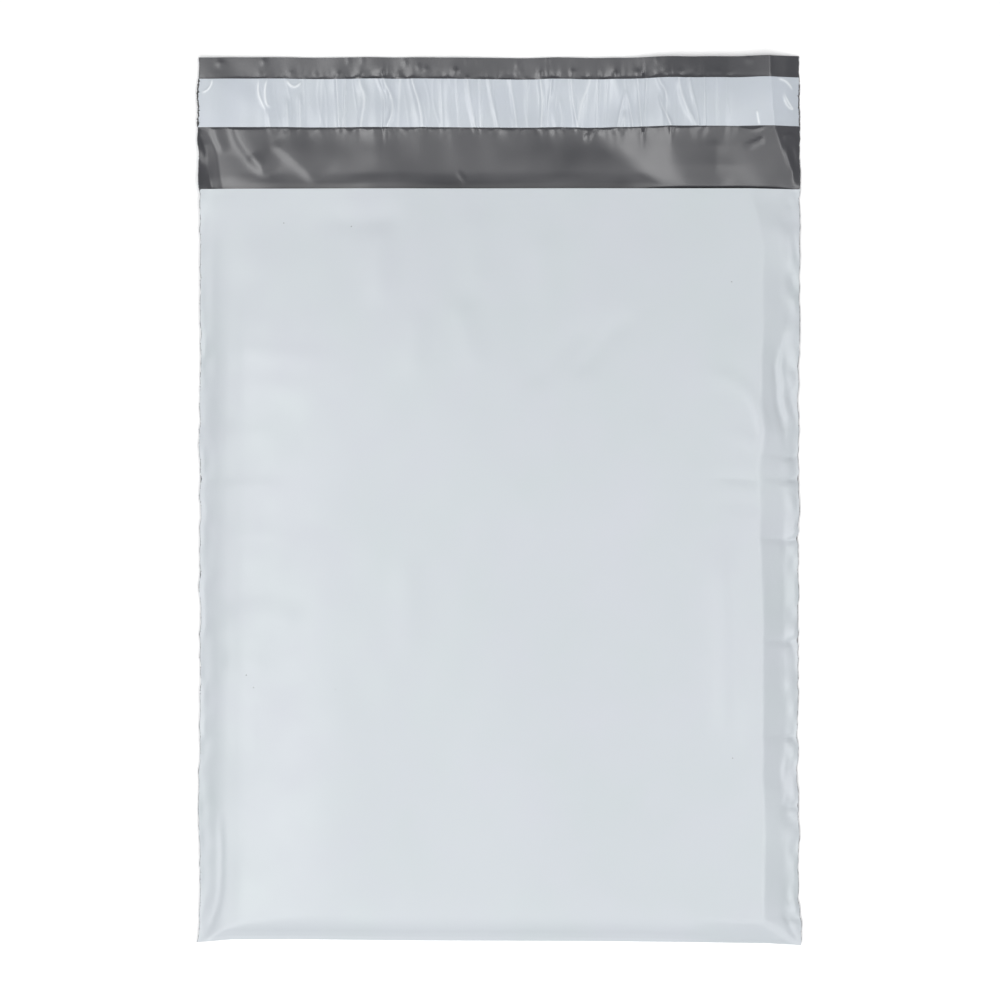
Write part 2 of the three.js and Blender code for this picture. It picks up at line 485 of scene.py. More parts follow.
def front_height(u, y):
    """The height of the film's outer face."""
    left = rounded((SIDE + u) / along(y, LEFT_SHOULDER), LEFT_SLOPE, 0.2)
    up, crisp = (y - FOLD) / along(u, BOTTOM_SHOULDER), ease((u - 75) / 25)
    bottom = (1 - crisp) * rounded(up, BOTTOM_SLOPE, 0.3) + crisp * rounded(up, CRISP_BOTTOM_SLOPE, 0.08)
    rise = lower(lower(right_rise(u, y), left), bottom)
    droop = ease((y - MOUTH + DROOP_LENGTH) / DROOP_LENGTH)
    flat = FLAT_HEIGHT - SLACK - MOUTH_DROOP * droop * (1 + 0.12 * ripples(u, 0 * u, 40, 40, seed=26))
    flat = flat + 0.14 * ripples(u, y, 46, 60, seed=27) + 0.03 * ripples(u, y, 12, 16, seed=28)
    flat = flat + creases(u, y, PANEL_WAVES)
    edge = weld_height(u, y) + WELD_THICKNESS / 2
    folds = creases(u, y, CORNER_FOLDS) * ease((SIDE - np.abs(u)) / 1.2) * ease((y - FOLD) / 1.5)
    return edge + (flat - edge) * rise + crinkles(u, y) + folds


print("height at the middle in mm:", round(front_height(np.zeros(1), np.zeros(1))[0], 2))


# %% [markdown]
# ## How the back and the lip lie
#
# The back rests flat on the table and rises to the welds at both sides. Past the mouth it has no
# front panel to hold it. Its left edge drops back to the table over a steep corner facet, and curls
# up a little further on. Its right part stays lifted: it rides up just past the mouth, and the fold
# of the bag's right shoulder runs on up the lip as a ridge, which swings out to the weld at the mouth.

# %% The lifted edges
# The left facet leans in two steps. Its outer step is the steeper one.
CORNER_OUTER_RUN = [(131, 5.4), (141, 4), (150, 2.2), (157, 0.5)]
CORNER_OUTER_HEIGHT = [(131, 3.4), (141, 2), (150, 1.15), (157, 0)]
CORNER_INNER_RUN = [(131, 4), (150, 4), (157, 2)]
CORNER_INNER_HEIGHT = [(131, 0.8), (150, 0.8), (157, 0)]
LEFT_CURL = 1.2  # further up, the lip's left edge curls up a little
LEFT_CURL_RUN = 36
LEFT_CURL_START, LEFT_CURL_RISE = 145, 14
# The right part starts to lift at its foot, and levels off at its top.
LIFT_FOOT = [(131, 77), (141, 58), (149, 47), (157, 40), (178, 46), (187, 52)]
LIFT_TOP = 74
LIFT_SLOPE = 0.107
LIFT_BLUR = (-4, -2, 0, 2, 4)  # offsets whose mean rounds off the start and end of the climb
HUMP_HEIGHT = 3.2  # where the right part rides up on the fold of the pouch's shoulder
HUMP_LENGTH = 27
HUMP_LEFT, HUMP_RISE = 50, 42
HUMP_RIGHT, HUMP_FALL = 119, 27
RIDGE_FOOT = 100
RIDGE_LINE = [(131, 126), (134, 124.2), (157, 116), (187, 114)]
RIDGE_HEIGHT = [(131, 2.1), (150, 3.4), (168, 3.4), (187, 3.2)]
RIDGE_OUTSIDE = [(131, 2.05), (150, 0.5), (187, 0.1)]  # height of the lip's right edge
POUCH_RUN = 13
MOUTH_LIFT = 1.4  # the film is still curved where it comes out of the pouch
MOUTH_LIFT_RUN = 16


def left_facet(u, y):
    """The corner facet by the mouth and the curl above it."""
    inset = SIDE + u
    outer_run, inner_run = along(y, CORNER_OUTER_RUN), along(y, CORNER_INNER_RUN)
    outer = along(y, CORNER_OUTER_HEIGHT) * np.clip(1 - inset / outer_run, 0, 1)
    inner = along(y, CORNER_INNER_HEIGHT) * np.clip(1 - (inset - outer_run) / inner_run, 0, 1)
    further_up = ease((y - LEFT_CURL_START) / LEFT_CURL_RISE)
    return outer + inner + LEFT_CURL * np.clip(1 - inset / LEFT_CURL_RUN, 0, 1) ** 1.5 * further_up


def right_lift(u, y):
    """The lifted right part: a climb, a ridge, a fall to the edge, and the hump by the mouth."""
    foot, crest, top = along(y, LIFT_FOOT), along(y, RIDGE_LINE), along(y, RIDGE_HEIGHT)
    climb = LIFT_SLOPE * sum(np.clip(u + step, foot, LIFT_TOP) - foot for step in LIFT_BLUR) / len(LIFT_BLUR)
    to_crest = (top - LIFT_SLOPE * (LIFT_TOP - foot)) * ease((u - RIDGE_FOOT) / (crest - RIDGE_FOOT))
    outside = top + (along(y, RIDGE_OUTSIDE) - top) * np.clip((u - crest) / (SIDE - crest), 0, 1)
    by_mouth = 1 - ease((y - MOUTH) / HUMP_LENGTH)
    hump = HUMP_HEIGHT * by_mouth * ease((u - HUMP_LEFT) / HUMP_RISE) * ease((HUMP_RIGHT - u) / HUMP_FALL)
    return np.where(u < crest, climb + to_crest, outside) + hump


def lifted_edge(u, y):
    """How far the edges of the back and lip lift it off the table."""
    low_weld = weld_height(u, np.minimum(y, MOUTH)) - WELD_THICKNESS / 2
    pouch = low_weld * np.clip(1 - (SIDE - np.abs(u)) / POUCH_RUN, 0, 1) ** 1.6
    lip = left_facet(u, y) + right_lift(u, y) * ease((y - MOUTH + 20) / 20)
    return pouch + (lip - pouch) * ease((y - MOUTH + 1) / 2)


print("top of the ridge on the lip in mm:", max(height for _, height in RIDGE_HEIGHT))


# %% [markdown]
# ## Puckers of the lip
#
# The liner was laid on under tension and has let go since, so it is a little too short for the lip
# and both have gathered. Broad pleats run across lip, adhesive and liner alike, and narrow ones lift
# the liner off in tunnels.

# %% Pleats and tunnels
LINER_WIDTH = LINER[1] - LINER[0]
PLEATED = (-112, 104)  # the stretch of the lip where it has gathered
rng = np.random.default_rng(31)


def scatter(count, lowest, highest):
    """Random places in the pleated stretch, evenly enough spread that none is left bare."""
    step = (PLEATED[1] - PLEATED[0]) / count
    places = PLEATED[0] + step * (np.arange(count) + rng.uniform(0.05, 0.95, count))
    widths = rng.uniform(0, 1, count)
    heights = rng.uniform(lowest, highest, count) * rng.choice([0.35, 0.7, 1, 1.3], count)
    return list(zip(places, widths, heights, rng.uniform(-1.5, 3.5, count), rng.uniform(-1.5, 1.5, count)))


PLEATS = scatter(17, 0.15, 0.34)
TUNNEL_FOOT = 157.5  # how far along the lip every tunnel has its foot
# The lines along which the liner has lifted: (points, place across of the foot, height, width).
TUNNELS = [
    ([(-98.5, 166)], -97, 0.16, 0.9), ([(-90.3, 171)], -89.3, 0.2, 1.2), ([(-84.6, 173)], -84.2, 0.22, 0.9),
    ([(-75, 178)], -76, 0.12, 1.3), ([(-69, 178)], -67.7, 0.22, 0.8), ([(-65.2, 178)], -65.8, 0.14, 0.5),
    ([(-59.5, 176), (-56.5, 170.5)], -58.9, 0.3, 1.5), ([(-52, 178), (-48.5, 170)], -49, 0.16, 0.6),
    ([(-49.6, 178), (-45.2, 170), (-45.2, 163)], -47.9, 0.3, 1), ([(-42, 178)], -43, 0.2, 1.5),
    ([(-37.5, 178), (-33.5, 166.3)], -32.5, 0.32, 1.1), ([(-25, 178)], -24, 0.12, 0.6),
    ([(-18.4, 178)], -17.1, 0.16, 0.5), ([(-13.7, 178), (-12.5, 168)], -10.3, 0.28, 1),
    ([(-8.5, 178)], -7.6, 0.14, 0.5), ([(-4.9, 178), (-2.6, 166)], -0.6, 0.22, 0.8),
    ([(4.4, 178), (6, 168)], 7.4, 0.24, 0.8), ([(11.5, 178)], 11.7, 0.14, 1.2),
    ([(17.1, 178), (18.4, 169.6)], 17.5, 0.3, 0.9), ([(22, 176), (20.5, 166)], 20.5, 0.2, 0.6),
    ([(24.5, 172), (26.5, 164)], 26, 0.16, 0.8), ([(30.2, 178), (31.2, 166.3)], 33.2, 0.26, 0.7),
    ([(38.6, 177), (34.5, 168)], 33, 0.32, 1.8), ([(41.6, 178)], 41.1, 0.22, 0.6),
    ([(46, 178)], 44.5, 0.12, 0.5), ([(53.2, 174), (52, 168)], 49.6, 0.24, 0.6),
    ([(53.4, 174), (55, 166)], 56.4, 0.24, 0.6), ([(52.6, 165)], 52.8, 0.22, 0.9),
    ([(58.2, 178)], 60, 0.26, 0.7), ([(62.2, 178)], 61, 0.2, 0.5),
    ([(66.5, 178), (71, 171), (70, 163)], 72, 0.26, 0.9), ([(67, 172), (68.6, 165)], 73, 0.26, 0.6),
    ([(75.5, 176), (78.3, 166)], 83.2, 0.3, 1.1), ([(79.5, 178), (83.3, 163.7)], 84, 0.22, 0.7),
    ([(86.3, 178)], 86.7, 0.26, 0.45), ([(91.5, 178)], 92, 0.12, 0.6),
]
PAST_EDGE = 7  # how far a tunnel's line runs on past the liner, so that it only fades there


def past_edges(points, foot):
    """The points and the foot, with the line run on past each edge of the liner that it reaches."""
    across, top = points[0]
    above = [(across, LINER[1] + PAST_EDGE)] if top > LINER[1] - 3 else []
    return [*above, *points, (foot, TUNNEL_FOOT), (foot, LINER[0] - PAST_EDGE)]


TUNNELS = [(past_edges(points, foot), height, width) for points, foot, height, width in TUNNELS]
print(len(PLEATS), "pleats and", len(TUNNELS), "tunnels")


def tunnel_lines(u, y, taller=1, wider=1):
    return sum(crease(u, y, points, height * taller, width * wider) for points, height, width in TUNNELS)


def middle_of(u):
    """1 in the middle of the pleated stretch, fading towards both ends."""
    return ease((u - PLEATED[0] + 8) / 40) * ease((PLEATED[1] + 8 - u) / 25)


def gathers(u, y, folds, narrow, wide):
    """The sum of folds that run across the liner, each leaning and bending its own way."""
    down = (LINER[1] - y) / LINER_WIDTH
    total = np.zeros(np.broadcast(u, y).shape)
    for place, width, height, lean, bend in folds:
        line = place + lean * (down - 0.5) + bend * np.sin(np.pi * down)
        total = total + height * hill(u - line, narrow + width * (wide - narrow))
    return total


def past_liner(y):
    """How far y is outside the liner's band, and 0 under it."""
    return np.maximum(np.maximum(LINER[0] - y, y - LINER[1]), 0)


# %% [markdown]
# Each tunnel pinches the grey film beside the liner's edges, and the film bulges between two pinches.
# The narrow band above the liner has small bumps, which catch the light as flecks.

# %% Dents beside the liner
PINCHES = sorted(points[-1][0] for points, height, _ in TUNNELS if height > 0.15)
MOON_REACH = 1.3
MOONS = rng.uniform(0.18, 0.55, len(PINCHES) + 1) * rng.choice([0.3, 1], len(PINCHES) + 1)


def moons(u, y):
    """Half-moon bulges between the pinches, along both edges of the liner."""
    cell = np.searchsorted(PINCHES, u)
    edges = np.array([PLEATED[0] - 6, *PINCHES, PLEATED[1] + 6])
    t = np.clip((u - edges[cell]) / (edges[cell + 1] - edges[cell]), 0, 1)
    out = past_liner(y) / MOON_REACH
    side = np.where(y < LINER[0], 1, -1)
    return side * MOONS[cell] * np.sin(np.pi * t) * out * np.exp(1 - out)


# Small bumps in the band above the liner: (place across, place along, height, width).
FLECKS = [
    (-118, 184.3, 0.26, 1.7), (-99.4, 184.8, 0.2, 1.2), (-101.5, 180, 0.1, 0.7), (-88, 180.2, 0.16, 1.3),
    (-77.9, 179.8, 0.13, 0.9), (-67.7, 180, 0.16, 1), (-63.9, 185.6, 0.14, 0.9), (-58, 185.6, 0.12, 0.9),
    (-50, 180, 0.16, 1), (-42.4, 180, 0.1, 0.7), (-39.9, 184.8, 0.16, 1), (-34.2, 182.8, 0.14, 0.9),
    (-31, 181.6, 0.18, 1), (-18.4, 181.2, 0.22, 1.4), (-13.7, 185.2, 0.12, 0.8), (-9, 185.2, 0.12, 0.8),
    (7.8, 183.8, 0.18, 1.1), (9.2, 180.8, 0.14, 0.8), (17.2, 180.2, 0.16, 1.1), (20.5, 185.9, 0.13, 0.8),
    (31, 180.8, 0.2, 1.3), (49, 180.2, 0.2, 1.3), (58.4, 180.6, 0.16, 1), (66.5, 185.6, 0.1, 0.8),
    (76.6, 180.3, 0.2, 1.3), (92.6, 180.3, 0.14, 0.9), (105.3, 185.6, 0.2, 1.2),
]


def dents(u, y):
    """Small dents and pimples in the grey film, most of them beside the liner."""
    out = past_liner(y)
    near = ease(out / 0.6) * np.exp(-out / 1.7)
    pinches = tunnel_lines(u, np.clip(y, *LINER), taller=0.9, wider=1.1)
    pinches = pinches + 0.06 * ripples(u, y, 1.6, 2.2, seed=32)
    flecks = sum(tall * hill(u - place, wide) * hill(y - up, 1.4) for place, up, tall, wide in FLECKS)
    flecks = flecks + 0.05 * np.maximum(y - LINER[1], 0)
    return (near * pinches + moons(u, y)) * (0.2 + 0.8 * middle_of(u)) + flecks * ease((y - LINER[1]) / 2)


# %% [markdown]
# A few larger creases run over the lip, most of them in its lower corners. With them and everything
# above, the height of the whole back and lip is one function.

# %% The height of the back and the lip
# Each crease is (points, height, width, width on the right).
LIP_CREASES = [
    ([(-113.5, 166), (-110.5, 154.5), (-107, 148), (-102, 142.5), (-95, 137)], 0.5, 9, 2.5),
    ([(-106, 146), (-102, 141), (-98, 138.5)], 0.2, 3, 2),
    ([(-121, 160), (-118.5, 151), (-116.5, 146)], 0.28, 3, 1.5),
    ([(-97, 152), (-84, 141.5), (-76, 134)], 0.37, 11, 2.4),
    ([(-18, 139), (-14, 134)], 0.14, 1),
    ([(36, 154.5), (39, 153)], 0.3, 1.8),
    ([(91, 154), (91.5, 144), (90, 134)], 0.14, 2.6),
    ([(103.5, 148.5), (107, 150.2), (112, 152.5)], 0.35, 0.7, 1.2),
    ([(101, 157), (107, 155.2), (112, 157.6)], 0.35, 0.8),
    ([(114, 192), (114.2, 176)], 0.15, 1),
    ([(122, 150), (124.5, 146), (125, 140)], -0.3, 1.2),
    ([(119.5, 152), (122, 154), (125, 153)], 0.25, 1),
    ([(120.5, 150), (123.5, 140), (124.5, 134)], 0.35, 0.7),
]


def lip_height(u, y):
    """The height of the film's lower face, from the bottom fold to the lip's edge."""
    beyond = ease((y - MOUTH + 6) / 12)
    slack = 0.6 + 0.2 * ripples(u, y, 26, 22, seed=35) + 0.05 * ripples(u, y, 9, 9, seed=36)
    near_liner = np.exp(-past_liner(y) / 4.5)
    pleats = (gathers(u, y, PLEATS, 1.8, 3.2) + tunnel_lines(u, y, 0.4, 1.4)) * middle_of(u) * near_liner
    folds = creases(u, y, LIP_CREASES) * ease(past_liner(y))
    held = ease((SIDE - np.abs(u)) / 6 + (u < 0) * ease((y - 140) / 12))
    own = (slack * held + pleats + folds) * beyond
    under_mouth = MOUTH_LIFT * ease(0.5 + (MOUTH - y) / MOUTH_LIFT_RUN) * ease((y - MOUTH + 40) / 40)
    under_mouth = under_mouth * ease((SIDE - np.abs(u) - 8) / 20)
    return np.maximum(lifted_edge(u, y) + under_mouth + own + dents(u, y) * ease((y - MOUTH) / 5), 0)


print("height at the middle of the lip in mm:", round(lip_height(np.zeros(1), np.full(1, LINER[0]))[0], 2))

# %% [markdown]
# ## The film web
#
# The web is one grid that follows the film all the way: down the front panel, round the fold, up the
# back and out along the lip. Its face is the white side, and Solidify gives it the thickness of the
# film, with the grey material on the inside. Both panels only need a coarse grid, and the puckered
# lip a fine one, so a row under the front panel's edge passes from one to the other.

# %% Lay out the grid
def spaced(stops):
    """Places from the first stop to the last. Each stop is (place, spacing up to the next one)."""
    places = [stops[0][0]]
    for (start, spacing), (end, _) in zip(stops, stops[1:]):
        count = max(1, round(abs(end - start) / spacing))
        places += [start + (end - start) * (i + 1) / count for i in range(count)]
    return np.array(places)


SPLIT = 5  # lip columns to one coarse column, in the middle
MIDDLE = 101  # how far the middle reaches to each side; the columns past it are fine everywhere
coarse_middle = spaced([(-MIDDLE, 3.4), (MIDDLE, 3.4)])
edge_columns = spaced([(-SIDE, 0.75), (-107, 1.2), (-MIDDLE, 1.2)])[:-1]
steps = np.arange((len(coarse_middle) - 1) * SPLIT + 1) / SPLIT
fine_middle = np.interp(steps, np.arange(len(coarse_middle)), coarse_middle)
COLUMNS = np.concatenate([edge_columns, fine_middle, -edge_columns[::-1]])
ALL = np.arange(len(COLUMNS))
in_middle = (ALL >= len(edge_columns)) & (ALL < len(edge_columns) + len(fine_middle))
COARSE = ALL[~in_middle | ((ALL - len(edge_columns)) % SPLIT == 0)]


def front_spacing(y):
    """The front panel's rows crowd together at the mouth, at the fold and round each notch."""
    to_notch = min(abs(y - place) for place in NOTCHES)
    return min(2.7, 0.6 + 0.35 * to_notch, 0.8 + 0.3 * (MOUTH - y), 0.3 + 0.08 * (y - FOLD))


FRONT_ROWS = [MOUTH]
while FRONT_ROWS[-1] > FOLD + 0.5:
    FRONT_ROWS.append(FRONT_ROWS[-1] - front_spacing(FRONT_ROWS[-1]))
FRONT_ROWS.append(FOLD + 0.2)
BACK_ROWS = spaced([(FOLD + 0.25, 0.3), (FOLD + 0.6, 1.6), (-175, 7), (MOUTH - 14, 7)])
LIP_ROWS = spaced(
    [(MOUTH - 12, 2), (MOUTH - 2, 1.05), (LINER[0] - 4, 0.45), (LINER[0], 1), (LINER[0] + 1, 2.1)]
    + [(LINER[1] - 1, 1), (LINER[1], 0.45), (LINER[1] + 4, 0.9), (LIP_END, 1)]
)
print(len(COLUMNS), "fine columns,", len(COARSE), "coarse")
print("rows:", len(FRONT_ROWS), "front,", len(BACK_ROWS), "back,", len(LIP_ROWS), "lip")


# %% Build the web
def sheet_mesh(name, rows):
    """A mesh from rows of (column numbers, places). Where a row has more columns than the next, a face
    takes in all the places between two shared columns."""
    starts = np.cumsum([0] + [len(columns) for columns, _ in rows])
    faces = []
    for (upper, _), (lower, _), first, second in zip(rows, rows[1:], starts, starts[1:]):
        above = {c: first + i for i, c in enumerate(upper)}
        below = {c: second + i for i, c in enumerate(lower)}
        shared = [c for c in upper if c in below]
        for a, b in zip(shared, shared[1:]):
            run = range(a, b + 1)
            face = [above[c] for c in reversed(run) if c in above]
            faces.append(face + [below[c] for c in run if c in below])
    return new_object(name, np.concatenate([places for _, places in rows]), faces=faces)


def film_row(columns, y, height):
    """One row across the web: its column numbers, and where they lie."""
    return columns, laid(COLUMNS[columns], y, height)


web_rows = [film_row(COARSE, y, front_height) for y in FRONT_ROWS]
web_rows += [film_row(COARSE, FOLD, weld_height)]
web_rows += [film_row(COARSE, y, lip_height) for y in BACK_ROWS]
web_rows += [film_row(ALL, y, lip_height) for y in LIP_ROWS]
bag = sheet_mesh("mailer_film", web_rows)


def finish_sheet(piece, thickness, *materials):
    """Gives a sheet its thickness, behind its face, and its materials, the last one on the inside."""
    for material in materials:
        piece.data.materials.append(material)
    solidify = piece.modifiers.new("thickness", "SOLIDIFY")
    solidify.thickness = thickness * MM
    solidify.offset = -1
    solidify.material_offset = len(materials) - 1
    freeze(piece)


# %% [markdown]
# ## Finish of the film
#
# The film is low-density polyethylene, blown as a tube with two layers: titanium white outside and
# carbon grey inside. Blown film is glossy but never quite even: the melt leaves a faint haze and
# clouds, so its roughness drifts, and the grey layer just tints the white one. Polyethylene's index
# of refraction is 1.51.

# %% Film materials
POLYETHYLENE_IOR = 1.51


def film_material(name, tints, roughness, haze, cloud_size=35, haze_size=1.6, painted_highlight=None):
    """Polyethylene film whose colour clouds between two tints, and turns to a third, lighter tint, a
    painted highlight, where its highlight attribute is 1. Sizes are in millimetres."""
    material, tree, shader = new_material(name)
    shader.inputs["IOR"].default_value = POLYETHYLENE_IOR
    place = add_node(tree, "ShaderNodeTexCoord").outputs["Object"]
    colour = blend(tree, noise(tree, place, cloud_size, 3.0, 0.55), linear(tints[0]), linear(tints[1]))
    if painted_highlight:
        share = add_node(tree, "ShaderNodeAttribute", {"attribute_name": "painted_highlight"}).outputs["Fac"]
        colour = blend(tree, share, colour, linear(painted_highlight))
    tree.links.new(colour, shader.inputs["Base Color"])
    rough = ramp(tree, noise(tree, place, cloud_size / 2, 2.0, 0.5), 0.3, 0.7, *roughness)
    tree.links.new(rough, shader.inputs["Roughness"])
    relief = {"Height": noise(tree, place, haze_size, 2.0, 0.5), "Strength": 1.0, "Distance": haze * MM}
    bump = add_node(tree, "ShaderNodeBump", {}, relief)
    tree.links.new(bump.outputs["Normal"], shader.inputs["Normal"])
    return material


white_film = film_material("white_polyethylene_film", ("#bcc5c7", "#c1c4cc"), (0.32, 0.4), 0.008)
grey_film = film_material(
    "grey_polyethylene_film", ("#444548", "#49494d"), (0.23, 0.27), 0.003, cloud_size=22
)
finish_sheet(bag, FILM, white_film, grey_film)

# %% [markdown]
# ## Adhesive and release liner
#
# The adhesive is a straw-coloured hot melt that never dries. The liner over it is a thin glossy
# film with a silicone coating. Both follow the lip, and the liner adds its own tunnels and the fine
# curved crinkles at its two ends. Its grid is finer than the film's, because its folds are.

# %% Creases of the liner
# The crinkles at the liner's ends, each a line of points on the lip.
END_CRINKLES = [
    [(-121.3, 178.4), (-121.5, 175.5), (-122.9, 173.1), (-125.6, 172)],
    [(-101.8, 178.5), (-102.2, 174), (-101.6, 170), (-98.4, 163.8)],
    [(-98.1, 178.5), (-99.3, 174), (-99, 169), (-98.2, 166.4), (-95.8, 165.8)],
    [(-90.5, 178), (-88.6, 175.2), (-86.2, 174.3), (-83.4, 177)],
    [(117.2, 177.4), (120.7, 176.6), (122.9, 174.7), (124.3, 172.2)],
    [(120.2, 172), (121.6, 168.6), (123.8, 165.4), (124.4, 164.4), (122.6, 165), (120.8, 168), (120, 171.6)],
    [(108.4, 164.2), (109, 161), (109.6, 157.4)],
]
CRINKLE_WIDTH = 0.5
CRINKLE_HEIGHT = 0.12
LINER_CLEARANCE = 0.05  # keeps the liner's back face off the adhesive
FINE_TUNNELS = scatter(34, 0.03, 0.07)


def crinkle_lines(u, y, width):
    return sum(crease(u, y, line, 1, width) for line in END_CRINKLES)


def tunnels(u, y):
    """How far the liner has let go of the adhesive."""
    total = tunnel_lines(u, y, 0.7) + gathers(u, y, FINE_TUNNELS, 0.3, 0.6) * middle_of(u)
    total = total + 0.03 * (1 + ripples(u, y, 3.5, 40, seed=41)) * middle_of(u)
    return np.maximum(total + CRINKLE_HEIGHT * crinkle_lines(u, y, CRINKLE_WIDTH), 0)


def painted_highlight_share(u, y):
    """How far the liner is painted lighter as a highlight: fully on the crinkles, a little on the sharpest
    tunnels.
    """
    return np.clip(0.85 * crinkle_lines(u, y, 0.38) + 1.2 * tunnel_lines(u, y, wider=0.3), 0, 1)


def strip_sheet(name, band, spacing, height, white=None):
    """A strip across the lip. Its height is a function of the place, and so is how far a painted highlight
    lightens it.
    """
    columns = np.arange(round(2 * SIDE / spacing[0]) + 1)
    u = np.linspace(-SIDE, SIDE, len(columns))
    levels = spaced([(band[0], spacing[1]), (band[1], spacing[1])])[::-1]
    piece = sheet_mesh(name, [(columns, laid(u, y, height)) for y in levels])
    if white:
        # how far each point of the strip is painted lighter, as a painted highlight
        places = np.concatenate([white(u, y) for y in levels])
        piece.data.attributes.new("painted_highlight", "FLOAT", "POINT").data.foreach_set("value", places)
    return piece


def glue_face(u, y):
    return lip_height(u, y) + (FILM + GLUE_THICKNESS)


def liner_face(u, y):
    return lip_height(u, y) + (FILM + GLUE_THICKNESS + LINER_THICKNESS + LINER_CLEARANCE + tunnels(u, y))


adhesive = strip_sheet("adhesive", GLUE, (0.75, 2.1), glue_face)
liner = strip_sheet("liner", LINER, (0.3, 0.5), liner_face, painted_highlight_share)
# The liner turns to the lighter tint #e6eaed on its crinkles and sharpest tunnels: a painted highlight.
liner_film = film_material(
    "siliconised_liner_film", ("#b9c0c5", "#bdc3cd"), (0.22, 0.27), 0.002, cloud_size=18, painted_highlight="#e6eaed"
)
hot_melt = film_material("hot_melt_adhesive", ("#b9ab7d", "#cbbf97"), (0.4, 0.55), 0.03, cloud_size=6)
finish_sheet(adhesive, GLUE_THICKNESS, hot_melt)
finish_sheet(liner, LINER_THICKNESS, liner_film)

# %% [markdown]
# ## The melted edges
#
# The hot knife leaves a bead of melted film along each side, and crumbs of charred film stick to it.
# Both follow the cut edge, so Geometry Nodes make them: a lumpy tube swept along the edge, with
# crumbs set along it at random. The same tree makes the side beads and the dirtier ends of the
# liner, where the knife went through adhesive as well.

# %% The tree for a melted bead
BEAD_INPUTS = {
    "Geometry": ("Edge",),
    "Float": ("Radius", "Lumps", "Lump size", "Crumb spacing", "Crumb radius"),
    "Material": ("Bead material", "Crumb material"),
    "Int": ("Seed",),
}


def bead_tree():
    tree = bpy.data.node_groups.new("melted_bead", "GeometryNodeTree")
    for kind, names in BEAD_INPUTS.items():
        for name in names:
            tree.interface.new_socket(name, in_out="INPUT", socket_type="NodeSocket" + kind)
    tree.interface.new_socket("Geometry", in_out="OUTPUT", socket_type="NodeSocketGeometry")

    def add(kind, inputs, **settings):
        return add_node(tree, kind, settings, inputs).outputs

    def random_vector(low, high):
        return add("FunctionNodeRandomValue", {0: low, 1: high, "Seed": seed}, data_type="FLOAT_VECTOR")[0]

    given = add("NodeGroupInput", {})
    radius, seed = given["Radius"], given["Seed"]

    # A tube along the edge, whose skin is pushed about by noise.
    path = add("GeometryNodeMeshToCurve", {"Mesh": given["Edge"]})["Curve"]
    profile = add("GeometryNodeCurvePrimitiveCircle", {"Resolution": 6, "Radius": radius})
    tube = add("GeometryNodeCurveToMesh", {"Curve": path, "Profile Curve": profile[0], "Fill Caps": True})
    fineness = add("ShaderNodeMath", {0: 1.0, 1: given["Lump size"]}, operation="DIVIDE")
    lumps = add("ShaderNodeTexNoise", {"W": seed, "Scale": fineness[0], "Detail": 2.0}, noise_dimensions="4D")
    centred = add("ShaderNodeVectorMath", {0: lumps["Color"], 1: (0.5, 0.5, 0.5)}, operation="SUBTRACT")
    shift = add("ShaderNodeVectorMath", {0: centred[0], "Scale": given["Lumps"]}, operation="SCALE")
    lumpy = add("GeometryNodeSetPosition", {"Geometry": tube["Mesh"], "Offset": shift[0]})

    # Crumbs set along the edge, most of them a little to one side of it, turned and sized at random.
    spots = add("GeometryNodeCurveToPoints", {"Curve": path, "Length": given["Crumb spacing"]}, mode="LENGTH")
    back = add("ShaderNodeMath", {0: radius, 1: -1.3}, operation="MULTIPLY")
    lowest = add("ShaderNodeCombineXYZ", {0: back[0], 1: back[0], 2: 0.0})
    highest = add("ShaderNodeCombineXYZ", {0: radius, 1: radius, 2: radius})
    strewn = random_vector(lowest[0], highest[0])
    moved = add("GeometryNodeSetPosition", {"Geometry": spots["Points"], "Offset": strewn})
    crumb = add("GeometryNodeMeshIcoSphere", {"Radius": given["Crumb radius"], "Subdivisions": 1})
    marked = add(
        "GeometryNodeStoreNamedAttribute", {"Geometry": crumb["Mesh"], "Name": "is_crumb", "Value": True},
        data_type="BOOLEAN", domain="FACE",
    )
    turned = random_vector((0.0, 0.0, 0.0), (6.28, 6.28, 6.28))
    sized = random_vector((0.25, 0.4, 0.25), (1.0, 1.6, 0.8))
    crumbs = add(
        "GeometryNodeInstanceOnPoints",
        {"Points": moved[0], "Instance": marked[0], "Rotation": turned, "Scale": sized},
    )

    # Both joined, made real, and given their materials.
    both = add_node(tree, "GeometryNodeJoinGeometry")
    tree.links.new(lumpy[0], both.inputs[0])
    tree.links.new(crumbs[0], both.inputs[0])
    real = add("GeometryNodeRealizeInstances", {"Geometry": both.outputs[0]})
    melted = add("GeometryNodeSetMaterial", {"Geometry": real[0], "Material": given["Bead material"]})
    is_crumb = add("GeometryNodeInputNamedAttribute", {"Name": "is_crumb"}, data_type="BOOLEAN")["Attribute"]
    charred = add(
        "GeometryNodeSetMaterial",
        {"Geometry": melted[0], "Selection": is_crumb, "Material": given["Crumb material"]},
    )
    add("NodeGroupOutput", {"Geometry": charred[0]})
    return tree


# %% [markdown]
# The bead is film that has melted and frozen again, so it keeps the film's pale grey, stained where
# it has charred. The char is soot brown and dull.

# %% Run the beads along the edges
def char_material(name, tints, spot_size, share):
    """Melted film, stained with char in spots. The spot size is in millimetres."""
    material, tree, shader = new_material(name)
    shader.inputs["IOR"].default_value = POLYETHYLENE_IOR
    shader.inputs["Roughness"].default_value = 0.45
    place = add_node(tree, "ShaderNodeTexCoord").outputs["Object"]
    edge = ramp(tree, noise(tree, place, spot_size, 3.0, 0.7), 0.62 - share / 2, 0.68 - share / 2)
    colour = blend(tree, edge, linear(tints[0]), linear(tints[1]))
    tree.links.new(colour, shader.inputs["Base Color"])
    return material


